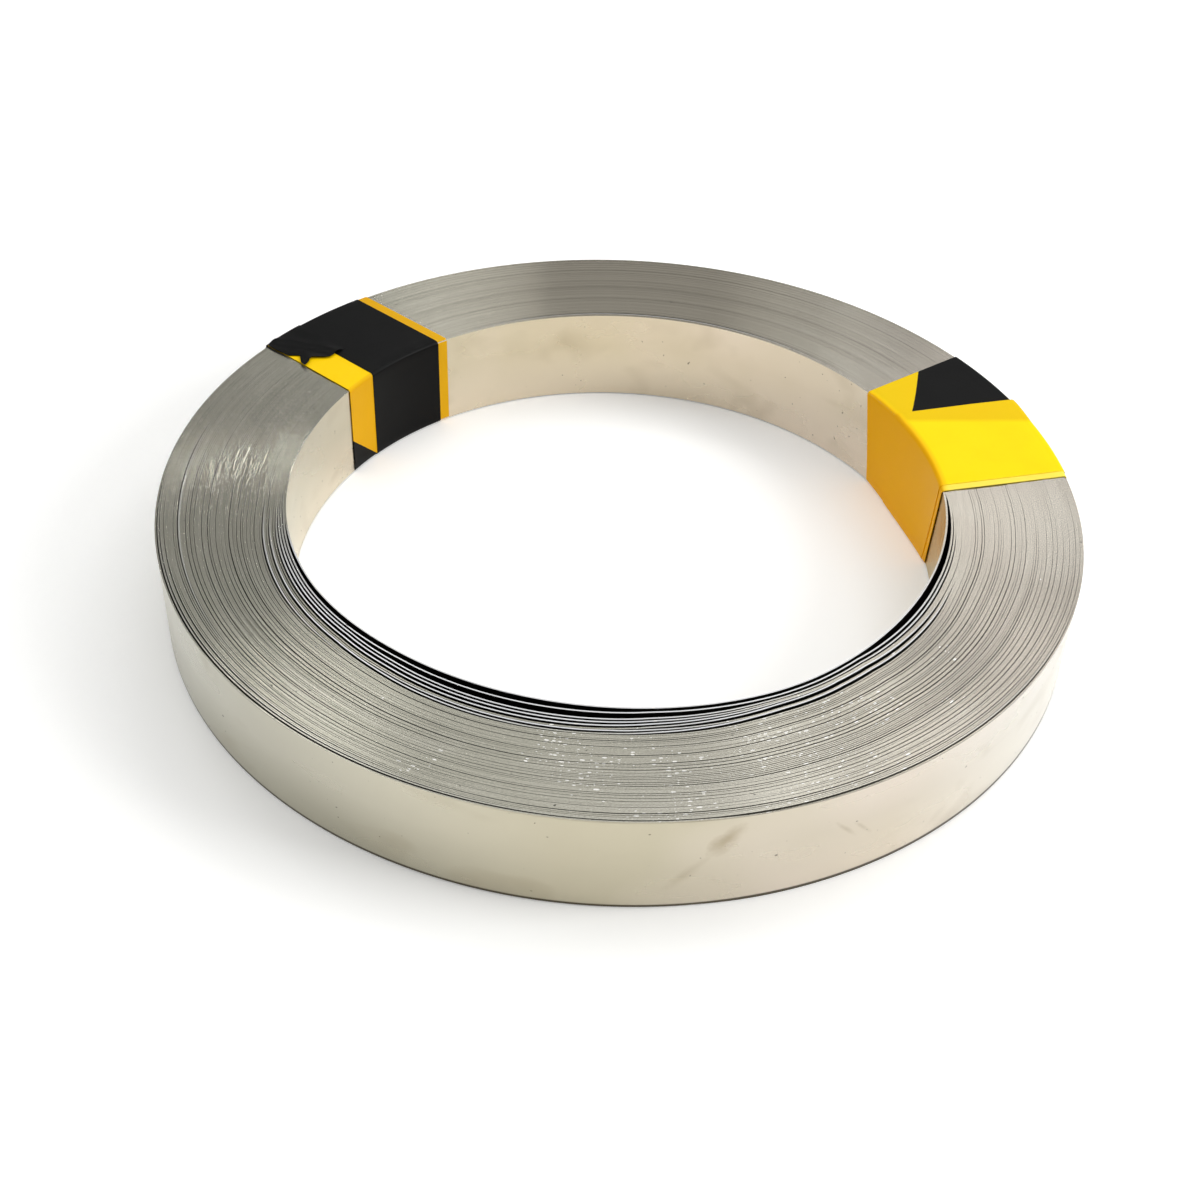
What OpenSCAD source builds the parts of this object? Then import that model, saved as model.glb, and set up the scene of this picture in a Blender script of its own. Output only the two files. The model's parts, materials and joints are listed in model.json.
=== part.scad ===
// Small coil of bright steel strip, lying flat on one end and held by two wraps of striped tape.
// Millimetres, +Z up. The coil's axis is Z, and z = 0 is the floor under the tape.
// -Y is the side with no tape, where the innermost turns have sprung apart.

/* [Strip] */
// Width of the strip, which is the height of the coil as it lies
strip_w = 16; // [8:0.5:30]
// Thickness of the strip
strip_t = 0.25; // [0.2:0.05:0.5]
// Bevel left on each slit edge
edge_break = 0.06; // [0.03:0.01:0.09]

/* [Winding] */
// Diameter of the bore
bore_d = 100; // [80:1:160]
// Number of turns from the bore to the outside
turns = 65; // [30:1:90]
// Air left between turns that lie tight
turn_gap = 0.03; // [0.02:0.01:0.06]
// How far the turns slip past each other along the axis
telescope = 0.15; // [0.05:0.01:0.3]

/* [Loose inner turns] */
// Number of gaps between the innermost turns that have sprung apart
loose_gaps = 7; // [2:1:10]
// Widest gap, next to the bore
loose_gap = 0.9; // [0.3:0.05:1.2]
// Each gap as a share of the one inside it
gap_share = 0.68; // [0.5:0.01:0.8]
// Depth of the gaps from each end, as a share of the strip's width
gap_depth_share = 0.42; // [0.2:0.01:0.45]

/* [Tape] */
// Width of the tape
tape_w = 22.4; // [12:0.2:26]
// Thickness of one layer of tape
tape_t = 0.1; // [0.06:0.01:0.11]
// Direction of the left wrap, seen from above
left_angle = 140.8; // [125:0.1:155]
// Width of the narrow strip that covers the left wrap
left_cover_w = 14; // [8:0.2:20]
// Sideways shift of the left cover strip, as a share of the tape's width
left_cover_shift_share = -0.107; // [-0.15:0.001:0.15]
// Direction of the right wrap, seen from above
right_angle = 15.4; // [5:0.1:25]
// Width of the strip that covers the right wrap
right_cover_w = 20; // [8:0.2:20]
// Turn of the right wrap's skewed first pass from the rest of the wrap
skew_angle = 22.1; // [0:0.1:25]
// Sideways shift of the skewed first pass, as a share of the tape's width
skew_shift_share = -0.567; // [-0.6:0.001:0]

/* [Hidden] */
// Share of the slip that follows the slow wave from turn to turn
slow_wave_share = 0.6;
// Degrees of the slow and of the quick wave from one turn to the next
slow_step = 31;
quick_step = 137;
// Layers of tape where a wrap is covered
tape_layers = 2;
// How far the tape's cutting prisms run past the coil
overrun = 1;
steel_colour = [0.62, 0.60, 0.55];
yellow_colour = [0.98, 0.82, 0.08];
black_colour = [0.10, 0.10, 0.10];

bore_r = bore_d / 2;
coil_z0 = tape_layers * tape_t;
coil_h = strip_w + telescope;
web_h = strip_w * (1 - 2 * gap_depth_share);
web_z0 = coil_z0 + (coil_h - web_h) / 2;
web_z1 = web_z0 + web_h;

// Air outside a turn: the loose gaps shrink outwards, and the rest of the turns lie tight
function air(k) = k < loose_gaps ? max(turn_gap, loose_gap * pow(gap_share, k)) : turn_gap;
// Each turn starts where the one inside it ends, past the air between them
turn_r = [for (k = 0, r = bore_r; k < turns; r = r + strip_t + air(k), k = k + 1) r];
coil_r = turn_r[turns - 1] + strip_t;

// Slip of a turn along the axis, from zero to the whole of the telescope
function slow_wave(k) = (1 + sin(k * slow_step)) / 2;
function quick_wave(k) = (1 + sin(k * quick_step)) / 2;
function slip(k) = telescope * (slow_wave_share * slow_wave(k) + (1 - slow_wave_share) * quick_wave(k));
function turn_z0(k) = coil_z0 + slip(k);
function turn_z1(k) = turn_z0(k) + strip_w;

// Outline of one turn's upper edge, from the inside out, with the loose gap that follows it
function edge_top(k) = concat([
    [turn_r[k], turn_z1(k) - edge_break],
    [turn_r[k] + edge_break, turn_z1(k)],
    [turn_r[k] + strip_t - edge_break, turn_z1(k)],
    [turn_r[k] + strip_t, turn_z1(k) - edge_break],
], k < loose_gaps ? [[turn_r[k] + strip_t, web_z1], [turn_r[k + 1], web_z1]] : []);

// Outline of one turn's lower edge, from the outside in, with the loose gap before it
function edge_bottom(k) = concat(k < loose_gaps ? [[turn_r[k + 1], web_z0], [turn_r[k] + strip_t, web_z0]] : [], [
    [turn_r[k] + strip_t, turn_z0(k) + edge_break],
    [turn_r[k] + strip_t - edge_break, turn_z0(k)],
    [turn_r[k] + edge_break, turn_z0(k)],
    [turn_r[k], turn_z0(k) + edge_break],
]);

// Section through all the turns on one side of the axis
module coil_section() {
    top = [for (k = [0 : turns - 1]) each edge_top(k)];
    bottom = [for (k = [turns - 1 : -1 : 0]) each edge_bottom(k)];
    polygon(concat(top, bottom));
}

// Strip wound into a ring, its turns standing as steps and grooves on both ends
module strip_coil() {
    color(steel_colour) rotate_extrude() coil_section();
}

// Outline of the coil's section grown by a number of tape layers, bevelled where the film turns an edge
module grown_section(layers) {
    grow = layers * tape_t;
    r0 = bore_r;
    r1 = coil_r;
    z0 = coil_z0;
    z1 = coil_z0 + coil_h;
    if (layers == 0) {
        translate([r0, z0]) square([r1 - r0, z1 - z0]);
    } else {
        polygon([
            [r0 - grow, z0], [r0, z0 - grow], [r1, z0 - grow], [r1 + grow, z0],
            [r1 + grow, z1], [r1, z1 + grow], [r0, z1 + grow], [r0 - grow, z1],
        ]);
    }
}

// Film of one or more layers, as if the coil were covered all over
module film(layers) {
    rotate_extrude() difference() {
        grown_section(layers);
        grown_section(0);
    }
}

// Straight path of one pass of tape across the ring, seen from above
module pass(direction, width, shift) {
    rotate(direction) translate([0, shift - width / 2]) square([coil_r + overrun, width]);
}

// The part of the film that lies inside the passes given as children
module tape(layers) {
    intersection() {
        film(layers);
        translate([0, 0, -overrun]) linear_extrude(coil_z0 + coil_h + coil_z0 + 2 * overrun) children();
    }
}

// Left wrap: a wide first pass with a narrow dark strip over it
module tape_left() {
    color(black_colour) {
        tape(1) pass(left_angle, tape_w, 0);
        tape(tape_layers) pass(left_angle, left_cover_w, left_cover_shift_share * tape_w);
    }
}

// Right wrap: a straight pass and a skewed one, covered by a last straight pass
module tape_right() {
    color(yellow_colour) {
        tape(1) {
            pass(right_angle, tape_w, 0);
            pass(right_angle + skew_angle, tape_w, skew_shift_share * tape_w);
        }
        tape(tape_layers) pass(right_angle, right_cover_w, 0);
    }
}

strip_coil();
tape_left();
tape_right();
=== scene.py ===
import json
import math
import random

import bpy
from mathutils import Matrix, Vector, noise


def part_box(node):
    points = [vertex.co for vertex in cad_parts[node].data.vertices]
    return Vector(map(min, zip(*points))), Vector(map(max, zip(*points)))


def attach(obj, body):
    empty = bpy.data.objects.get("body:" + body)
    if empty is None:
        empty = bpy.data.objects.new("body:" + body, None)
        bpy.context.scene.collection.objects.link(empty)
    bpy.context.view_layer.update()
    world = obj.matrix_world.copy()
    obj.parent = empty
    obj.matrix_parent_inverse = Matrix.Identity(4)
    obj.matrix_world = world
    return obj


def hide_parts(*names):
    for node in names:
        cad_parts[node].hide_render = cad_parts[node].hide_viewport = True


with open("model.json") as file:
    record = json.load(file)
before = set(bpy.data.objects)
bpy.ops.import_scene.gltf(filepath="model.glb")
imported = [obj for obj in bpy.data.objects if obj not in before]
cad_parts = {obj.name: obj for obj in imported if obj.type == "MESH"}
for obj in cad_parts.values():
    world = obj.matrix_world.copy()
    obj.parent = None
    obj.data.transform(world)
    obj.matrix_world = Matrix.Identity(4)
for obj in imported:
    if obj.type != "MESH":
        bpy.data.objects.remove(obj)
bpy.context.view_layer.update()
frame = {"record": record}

MM = 0.001

# The wound strip, from the frame and the strip's own section
coil_low, coil_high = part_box("strip_coil")
BORE_R = frame["record"]["mounts"][0]["dims"]["r_mm"] * MM
COIL_R = coil_high.x
COIL_Z0 = coil_low.z
COIL_Z1 = coil_high.z
STRIP_W = 16 * MM
STRIP_T = 0.25 * MM
TURNS = 65
PITCH = (COIL_R - BORE_R) / TURNS
COLUMNS = 320

# Directions of the two tape wraps seen from above, in degrees
LEFT_WRAP = 140.8
RIGHT_WRAP = 15.4
SKEWED_PASS = 37.5

# The striped tape
TAPE_W = 22.4 * MM
FILM_T = 0.1 * MM
FILM_CELL = 0.5 * MM
FOLD_R = 0.45 * MM
STRIPE_PAIR = 116 * MM
# Where along its way round the section the left wrap's torn flap lies
FLAP_SPAN = (36.5 * MM, 60 * MM)
# The right wrap: its crease on top, its sag in the bore from one angle over so many degrees, the share by
# which it narrows there, and the degrees by which the skewed pass drifts down both walls
CREASE_SLANT = math.radians(5)
CREASE_X, CREASE_Y = 45.6 * MM, 20.7 * MM
CREASE_RISE, CREASE_RUN = 0.45 * MM, 4.5 * MM
SAG = 1.2 * MM
SAG_FROM, SAG_OVER = 5, 28
PINCH = 0.2
SKEW_INSIDE, SKEW_OUTSIDE = -3.6, 2.4


def smooth(x):
    """0 below 0, 1 above 1, and an even S between them."""
    x = min(max(x, 0.0), 1.0)
    return x * x * (3 - 2 * x)


def arc_window(angle, start, end, sharpness):
    """A swell over the arc from start to end, in degrees: 0 at both ends and 1 in the middle."""
    along = ((angle - start) % 360) / (end - start)
    return math.sin(math.pi * along) ** sharpness if along < 1 else 0.0


# Colour and node helpers
def linear(hex_colour):
    """An sRGB hex colour as linear RGBA."""
    channels = [int(hex_colour[i:i + 2], 16) / 255 for i in (1, 3, 5)]
    return [c / 12.92 if c <= 0.04045 else ((c + 0.055) / 1.055) ** 2.4 for c in channels] + [1.0]


def add_node(tree, kind, inputs=None, **settings):
    """Adds a node with its settings. Each input is a value, or the output socket to link from."""
    made = tree.nodes.new(kind)
    for name, value in settings.items():
        setattr(made, name, value)
    for socket, value in (inputs or {}).items():
        if isinstance(value, bpy.types.NodeSocket):
            tree.links.new(value, made.inputs[socket])
        else:
            made.inputs[socket].default_value = value
    return made


def new_material(name):
    material = bpy.data.materials.new(name)
    material.use_nodes = True
    material.node_tree.nodes.clear()
    return material, material.node_tree


def around_coil(tree):
    """Coordinates that follow the strip: along the turn, out from the axis, and up, in metres.
    The seam lies under the right tape wrap."""
    place = add_node(tree, "ShaderNodeTexCoord")
    seam = math.radians(180 - RIGHT_WRAP)
    turned = add_node(
        tree, "ShaderNodeMapping", {"Vector": place.outputs["Object"], "Rotation": (0, 0, seam)})
    xyz = add_node(tree, "ShaderNodeSeparateXYZ", {0: turned.outputs[0]})
    angle = add_node(
        tree, "ShaderNodeMath", {0: xyz.outputs["Y"], 1: xyz.outputs["X"]}, operation="ARCTAN2")
    along = add_node(
        tree, "ShaderNodeMath", {0: angle.outputs[0], 1: (BORE_R + COIL_R) / 2}, operation="MULTIPLY")
    flat = add_node(tree, "ShaderNodeCombineXYZ", {"X": xyz.outputs["X"], "Y": xyz.outputs["Y"]})
    out = add_node(tree, "ShaderNodeVectorMath", {0: flat.outputs[0]}, operation="LENGTH")
    strip = add_node(
        tree, "ShaderNodeCombineXYZ",
        {"X": along.outputs[0], "Y": out.outputs["Value"], "Z": xyz.outputs["Z"]})
    return strip.outputs[0]


# Marks on the rolled faces: size in mm along the turn, out from the axis and up, detail, and distortion.
# Smudges from handling are a couple of centimetres long, and brown clouds of old oil half as long.
# Rolling lines run along the strip: real ones are microns wide, drawn at 0.35 mm so that they show.
ROLLED_MARKS = {
    "smudge": ((22, 22, 9), 4, 0.0), "lines": ((30, 2, 0.35), 2, 0.0), "oil": ((13, 13, 8), 2, 0.3),
}
# How the rolled faces change across the coil: the axis, where the change starts and ends in mm, and its
# share at both
# Several of these are painted light and shade, said where they are used: the paler right, the pale foot, the
# white far right, the brown beside the right wrap and the dark foot on the left
ROLLED_CHANGES = {
    "painted right light": ("X", -30, 55, -0.35, 0.3), "left": ("X", -62, -5, 1.0, 0.0),
    "back": ("Y", 10, 50, 0.0, 0.45), "right": ("X", 10, 40, 0.0, 1.0),
    "painted pale foot": ("Z", 2, 10, 0.4, 0.0), "far right": ("X", 38, 60, 0.0, 0.7),
    "shade by wrap": ("X", 43, 49, 0.0, 0.85), "shaded foot": ("Z", 1, 10, 0.42, 0.0),
    "shaded left side": ("X", 5, -35, 0.0, 1.0),
}
# Scuffs on the outer wall: direction, height in mm, length, width, slant in degrees, and depth of colour
SCUFFS = [
    (282.6, 11.9, 3.6, 1.6, 58, 0.55), (278.6, 6.2, 4.2, 0.9, 50, 0.25),
    (296.2, 9.4, 2.8, 0.4, -52, 0.3), (298.4, 8.6, 2.4, 0.35, -52, 0.25),
]
WALL_STEP = 4 * MM
RIM_DARK_FROM, RIM_DARK_TO = 0.42 * MM, 0.22 * MM


def bright_rolled_steel():
    """Bright cold-rolled strip: a warm, satin mirror with faint rolling lines, smudges and a few specks."""
    material, tree = new_material("bright_rolled_steel")
    strip = around_coil(tree)
    way = add_node(tree, "ShaderNodeSeparateXYZ", {0: strip})
    place = add_node(tree, "ShaderNodeTexCoord")
    sides = add_node(tree, "ShaderNodeSeparateXYZ", {0: place.outputs["Object"]})
    marks = {}
    for name, ((long, deep, tall), detail, distortion) in ROLLED_MARKS.items():
        size = add_node(
            tree, "ShaderNodeVectorMath",
            {0: strip, 1: (1 / (long * MM), 1 / (deep * MM), 1 / (tall * MM))}, operation="MULTIPLY")
        mark = add_node(
            tree, "ShaderNodeTexNoise",
            {"Vector": size.outputs[0], "Scale": 1, "Detail": detail, "Distortion": distortion})
        marks[name] = mark.outputs[0]
    changes = {}
    for name, (axis, start, end, at_start, at_end) in ROLLED_CHANGES.items():
        change = add_node(
            tree, "ShaderNodeMapRange",
            {"Value": sides.outputs[axis], "From Min": start * MM, "From Max": end * MM,
             "To Min": at_start, "To Max": at_end})
        changes[name] = change.outputs[0]
    outside = add_node(
        tree, "ShaderNodeMapRange",
        {"Value": way.outputs["Y"], "From Min": BORE_R + WALL_STEP, "From Max": COIL_R - WALL_STEP})
    in_bore = add_node(
        tree, "ShaderNodeMath", {0: 1.0, 1: outside.outputs[0]}, operation="SUBTRACT")
    # Haze left by handling: broad paler patches, and painted light that puts most of them on the right
    haze = add_node(tree, "ShaderNodeTexNoise", {"Vector": strip, "Scale": 1 / (30 * MM), "Detail": 2})
    patchy = add_node(
        tree, "ShaderNodeMath", {0: haze.outputs[0], 1: changes["painted right light"]}, operation="ADD")
    haze_and_painted_light = add_node(
        tree, "ShaderNodeMapRange", {"Value": patchy.outputs[0], "From Min": 0.3, "From Max": 0.85})
    # Towards the left the strip is cooler in tone, less so in the bore
    cool_wall = add_node(
        tree, "ShaderNodeMapRange", {"Value": outside.outputs[0], "To Min": 0.4, "To Max": 1.0})
    cool = add_node(
        tree, "ShaderNodeMath", {0: changes["left"], 1: cool_wall.outputs[0]}, operation="MULTIPLY")
    # Painted light: the foot of the bore and of the right side is painted paler, standing in for the brighter
    # floor it reflects there
    pale_foot_sides = add_node(
        tree, "ShaderNodeMath", {0: in_bore.outputs[0], 1: changes["right"]}, operation="MAXIMUM")
    painted_pale_foot = add_node(
        tree, "ShaderNodeMath", {0: pale_foot_sides.outputs[0], 1: changes["painted pale foot"]}, operation="MULTIPLY")
    # Painted reflection: far to the right the outside is painted almost white, standing in for the brightly
    # lit floor it reflects there
    white = add_node(
        tree, "ShaderNodeMath", {0: changes["far right"], 1: outside.outputs[0]}, operation="MULTIPLY")
    # Painted shade: the bore beside the right wrap is painted brown, standing in for the shade of the tape
    # there
    painted_wrap_shade = add_node(
        tree, "ShaderNodeMath", {0: changes["shade by wrap"], 1: in_bore.outputs[0]}, operation="MULTIPLY")
    # Painted shade: the foot of the left side is painted darker, standing in for the floor's shadow that it
    # reflects
    shaded_left_foot = add_node(
        tree, "ShaderNodeMath", {0: changes["shaded foot"], 1: changes["shaded left side"]}, operation="MULTIPLY")
    painted_foot_shade = add_node(
        tree, "ShaderNodeMath", {0: shaded_left_foot.outputs[0], 1: outside.outputs[0]}, operation="MULTIPLY")
    # Brown stains: the clouds of old oil, and the scuffs with their ragged edges
    stained = add_node(
        tree, "ShaderNodeMapRange",
        {"Value": marks["oil"], "From Min": 0.56, "From Max": 0.8, "To Min": 0.0, "To Max": 0.3})
    ragged = add_node(tree, "ShaderNodeTexNoise", {"Vector": strip, "Scale": 1 / (1.6 * MM), "Detail": 3})
    for direction, height, length, width, slant, depth in SCUFFS:
        turned = (direction + 180 - RIGHT_WRAP) % 360
        along = math.radians(turned if turned < 180 else turned - 360) * (BORE_R + COIL_R) / 2
        at_mark = add_node(
            tree, "ShaderNodeVectorMath", {0: strip, 1: (along, COIL_R, height * MM)}, operation="SUBTRACT")
        laid = add_node(
            tree, "ShaderNodeVectorRotate", {"Vector": at_mark.outputs[0], "Angle": math.radians(slant)},
            rotation_type="Y_AXIS")
        sized = add_node(
            tree, "ShaderNodeVectorMath",
            {0: laid.outputs[0], 1: (1 / (length * MM), 1 / MM, 1 / (width * MM))}, operation="MULTIPLY")
        reach = add_node(tree, "ShaderNodeVectorMath", {0: sized.outputs[0]}, operation="LENGTH")
        worn = add_node(
            tree, "ShaderNodeMath", {0: reach.outputs["Value"], 1: ragged.outputs[0]}, operation="ADD")
        scuff = add_node(
            tree, "ShaderNodeMapRange",
            {"Value": worn.outputs[0], "From Min": 0.6, "From Max": 1.5, "To Min": depth, "To Max": 0.0})
        stained = add_node(
            tree, "ShaderNodeMath", {0: stained.outputs[0], 1: scuff.outputs[0]}, operation="MAXIMUM")
    # Dark bands along the outer rims: the lower one all along, painted shade for the contact shadow and the
    # gap at the floor, and the upper one in patches, where the slit corners are burnt dark
    from_middle = add_node(
        tree, "ShaderNodeMath", {0: way.outputs["Z"], 1: (COIL_Z0 + COIL_Z1) / 2}, operation="SUBTRACT")
    to_rim = add_node(tree, "ShaderNodeMath", {0: from_middle.outputs[0]}, operation="ABSOLUTE")
    rim = add_node(
        tree, "ShaderNodeMapRange",
        {"Value": to_rim.outputs[0], "From Min": STRIP_W / 2 - RIM_DARK_FROM, "From Max": STRIP_W / 2 - RIM_DARK_TO,
         "To Min": 0.0, "To Max": 0.95})
    lower_half = add_node(
        tree, "ShaderNodeMath", {0: from_middle.outputs[0], 1: 0.0}, operation="LESS_THAN")
    patches = add_node(
        tree, "ShaderNodeMapRange", {"Value": patchy.outputs[0], "From Min": 0.2, "From Max": 0.6})
    burn_and_contact_shade = add_node(
        tree, "ShaderNodeMath", {0: lower_half.outputs[0], 1: patches.outputs[0]}, operation="MAXIMUM")
    rim_burn_and_shade = add_node(
        tree, "ShaderNodeMath", {0: rim.outputs[0], 1: burn_and_contact_shade.outputs[0]}, operation="MULTIPLY")
    rim_mark = add_node(
        tree, "ShaderNodeMath", {0: rim_burn_and_shade.outputs[0], 1: outside.outputs[0]}, operation="MULTIPLY")
    # Dust and pits, a few tenths of a millimetre across
    speck = add_node(tree, "ShaderNodeTexNoise", {"Vector": strip, "Scale": 1 / (0.8 * MM), "Detail": 1})
    pitted = add_node(
        tree, "ShaderNodeMapRange",
        {"Value": speck.outputs[0], "From Min": 0.765, "From Max": 0.795, "To Min": 0.0, "To Max": 0.7})
    dark = add_node(
        tree, "ShaderNodeMath", {0: rim_mark.outputs[0], 1: pitted.outputs[0]}, operation="MAXIMUM")
    # The metal's own tone, then the marks and the painted light and shade laid over it, in order. At the back
    # it is warmer.
    colour = add_node(
        tree, "ShaderNodeMix",
        {"Factor": marks["smudge"], "A": linear("#c9c1ab"), "B": linear("#c1baa4")}, data_type="RGBA")
    for share, tint in (
            (haze_and_painted_light.outputs[0], "#e0d5cb"), (cool.outputs[0], "#cfcdc1"), (changes["back"], "#ceba98"),
            (painted_pale_foot.outputs[0], "#f2e6d5"), (white.outputs[0], "#e1e0da"), (painted_wrap_shade.outputs[0], "#b69c50"),
            (painted_foot_shade.outputs[0], "#96937d"), (stained.outputs[0], "#958567"), (dark.outputs[0], "#4d463a")):
        colour = add_node(
            tree, "ShaderNodeMix",
            {"Factor": share, "A": colour.outputs["Result"], "B": linear(tint)}, data_type="RGBA")
    rough = add_node(
        tree, "ShaderNodeMapRange",
        {"Value": marks["smudge"], "From Min": 0.3, "From Max": 0.7, "To Min": 0.24, "To Max": 0.34})
    bump = add_node(
        tree, "ShaderNodeBump", {"Height": marks["lines"], "Strength": 0.05, "Distance": 0.05 * MM})
    shader = add_node(
        tree, "ShaderNodeBsdfPrincipled",
        {"Base Color": colour.outputs["Result"], "Metallic": 1.0, "Roughness": rough.outputs[0],
         "Normal": bump.outputs[0]})
    add_node(tree, "ShaderNodeOutputMaterial", {"Surface": shader.outputs[0]})
    return material


def gap_shaded_steel():
    """The same strip between the turns, dulled by a film of rolling oil and painted dark as shade for the
    narrow gaps, with faint lines along it.
    """
    material, tree = new_material("gap_shaded_steel")
    strip = around_coil(tree)
    (long, deep, tall), detail, _ = ROLLED_MARKS["lines"]
    line_size = add_node(
        tree, "ShaderNodeVectorMath",
        {0: strip, 1: (1 / (long * MM), 1 / (deep * MM), 1 / (tall * MM))}, operation="MULTIPLY")
    lines = add_node(
        tree, "ShaderNodeTexNoise", {"Vector": line_size.outputs[0], "Scale": 1, "Detail": detail})
    tone = add_node(
        tree, "ShaderNodeMix",
        {"Factor": lines.outputs[0], "A": linear("#3c3933"), "B": linear("#4b473f")}, data_type="RGBA")
    shader = add_node(
        tree, "ShaderNodeBsdfPrincipled",
        {"Base Color": tone.outputs["Result"], "Metallic": 1.0, "Roughness": 0.4})
    add_node(tree, "ShaderNodeOutputMaterial", {"Surface": shader.outputs[0]})
    return material


# Marks on the slit edges: size in mm along the turn and across it, and detail.
# The shade differs a little from turn to turn and changes slowly along each one. The grain is the fine torn
# metal, drawn at 0.15 mm so that it shows. Score marks along the turn, half a centimetre long, tip the metal
# by a hair, so glints look combed. Pale scuffs from standing and handling are a centimetre long.
EDGE_MARKS = {"shade": (60, 0.6, 2), "grain": (0.3, 0.15, 2), "score": (5.5, 0.3, 1), "scuff": (11, 5, 3)}
BURR_LONG, BURR_WIDE = 0.9 * MM, 0.36 * MM
# Places on the upper end: the middle in mm, how far off in mm the effect starts to fade and has gone, and
# its share at both. Burrs gather in front, the back is painted darker as shade, and two places carry painted
# sheen.
EDGE_PLACES = {
    "burrs": ((14, -60), (12, 66), (0.2, -0.12)), "painted back shade": ((2, 60), (16, 46), (1.0, 0.0)),
    "painted front sheen": ((14, -70), (6, 30), (0.3, 0.0)), "painted right sheen": ((69, -6), (3, 16), (0.35, 0.0)),
}


def sheared_steel():
    """Slit edges of the turns: dull grey metal, scored along the turn, with burrs painted bright as glints
    and dark oil specks.
    The edges of the sprung turns stand free and are painted paler, as a highlight for the light they catch."""
    material, tree = new_material("sheared_steel")
    strip = around_coil(tree)
    place = add_node(tree, "ShaderNodeTexCoord")
    sides = add_node(tree, "ShaderNodeSeparateXYZ", {0: place.outputs["Object"]})
    marks = {}
    for name, (long, wide, detail) in EDGE_MARKS.items():
        size = add_node(
            tree, "ShaderNodeVectorMath", {0: strip, 1: (1 / (long * MM), 1 / (wide * MM), 0)},
            operation="MULTIPLY")
        mark = add_node(
            tree, "ShaderNodeTexNoise", {"Vector": size.outputs[0], "Scale": 1, "Detail": detail})
        marks[name] = mark.outputs[0]
    near = {}
    for name, ((x, y), (inner, outer), (at_middle, far_off)) in EDGE_PLACES.items():
        reach = add_node(
            tree, "ShaderNodeVectorMath", {0: place.outputs["Object"], 1: (x * MM, y * MM, COIL_Z1)},
            operation="DISTANCE")
        fading = add_node(
            tree, "ShaderNodeMapRange",
            {"Value": reach.outputs["Value"], "From Min": inner * MM, "From Max": outer * MM,
             "To Min": at_middle, "To Max": far_off})
        near[name] = fading.outputs[0]
    # Burrs left by the slitter gather in patches, and each one is painted as a short bright fleck along the
    # turn, a painted glint
    burr_size = add_node(
        tree, "ShaderNodeVectorMath", {0: strip, 1: (1 / BURR_LONG, 1 / BURR_WIDE, 0)}, operation="MULTIPLY")
    burr = add_node(
        tree, "ShaderNodeTexVoronoi", {"Vector": burr_size.outputs[0], "Scale": 1}, voronoi_dimensions="2D")
    burr_kind = add_node(tree, "ShaderNodeSeparateColor", {0: burr.outputs["Color"]})
    patch = add_node(tree, "ShaderNodeTexNoise", {"Vector": strip, "Scale": 1 / (9 * MM), "Detail": 1})
    gathered = add_node(
        tree, "ShaderNodeMath", {0: patch.outputs[0], 1: near["burrs"]}, operation="ADD")
    burr_limit = add_node(
        tree, "ShaderNodeMapRange",
        {"Value": gathered.outputs[0], "From Min": 0.62, "From Max": 0.86, "To Min": 1.0, "To Max": 0.54})
    present = add_node(
        tree, "ShaderNodeMath", {0: burr_kind.outputs[0], 1: burr_limit.outputs[0]}, operation="GREATER_THAN")
    few_large = add_node(tree, "ShaderNodeMath", {0: burr_kind.outputs[1], 1: 3.0}, operation="POWER")
    burr_reach = add_node(
        tree, "ShaderNodeMapRange", {"Value": few_large.outputs[0], "To Min": 0.12, "To Max": 0.46})
    burr_over = add_node(
        tree, "ShaderNodeMath", {0: burr_reach.outputs[0], 1: burr.outputs["Distance"]}, operation="SUBTRACT")
    spot = add_node(
        tree, "ShaderNodeMapRange", {"Value": burr_over.outputs[0], "From Min": 0.0, "From Max": 0.06})
    painted_burr_glints = add_node(
        tree, "ShaderNodeMath", {0: spot.outputs[0], 1: present.outputs[0]}, operation="MULTIPLY")
    # Oil and dirt specks
    dirt = add_node(tree, "ShaderNodeTexNoise", {"Vector": strip, "Scale": 1 / (0.8 * MM), "Detail": 1})
    dirty = add_node(
        tree, "ShaderNodeMapRange",
        {"Value": dirt.outputs[0], "From Min": 0.78, "From Max": 0.82, "To Min": 0.0, "To Max": 0.7})
    # The metal is pinker on the right, and the torn grain darkens it
    pink = add_node(
        tree, "ShaderNodeMapRange",
        {"Value": sides.outputs["X"], "From Min": 5 * MM, "From Max": 55 * MM, "To Min": 0.0, "To Max": 0.7})
    scuffed = add_node(
        tree, "ShaderNodeMapRange",
        {"Value": marks["scuff"], "From Min": 0.5, "From Max": 0.72, "To Min": 0.0, "To Max": 0.2})
    # Painted sheen: the outer front and the right beside the wrap are painted paler, standing in for the
    # light they catch
    painted_sheen = add_node(
        tree, "ShaderNodeMath", {0: near["painted front sheen"], 1: near["painted right sheen"]}, operation="MAXIMUM")
    torn = add_node(
        tree, "ShaderNodeMapRange",
        {"Value": marks["grain"], "From Min": 0.3, "From Max": 0.7, "To Min": 0.0, "To Max": 0.3})
    # Painted highlight: where a turn stands free of the next, its edge is painted paler, standing in for the
    # light that edge catches
    free = add_node(tree, "ShaderNodeAttribute", attribute_name="loose")
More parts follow.
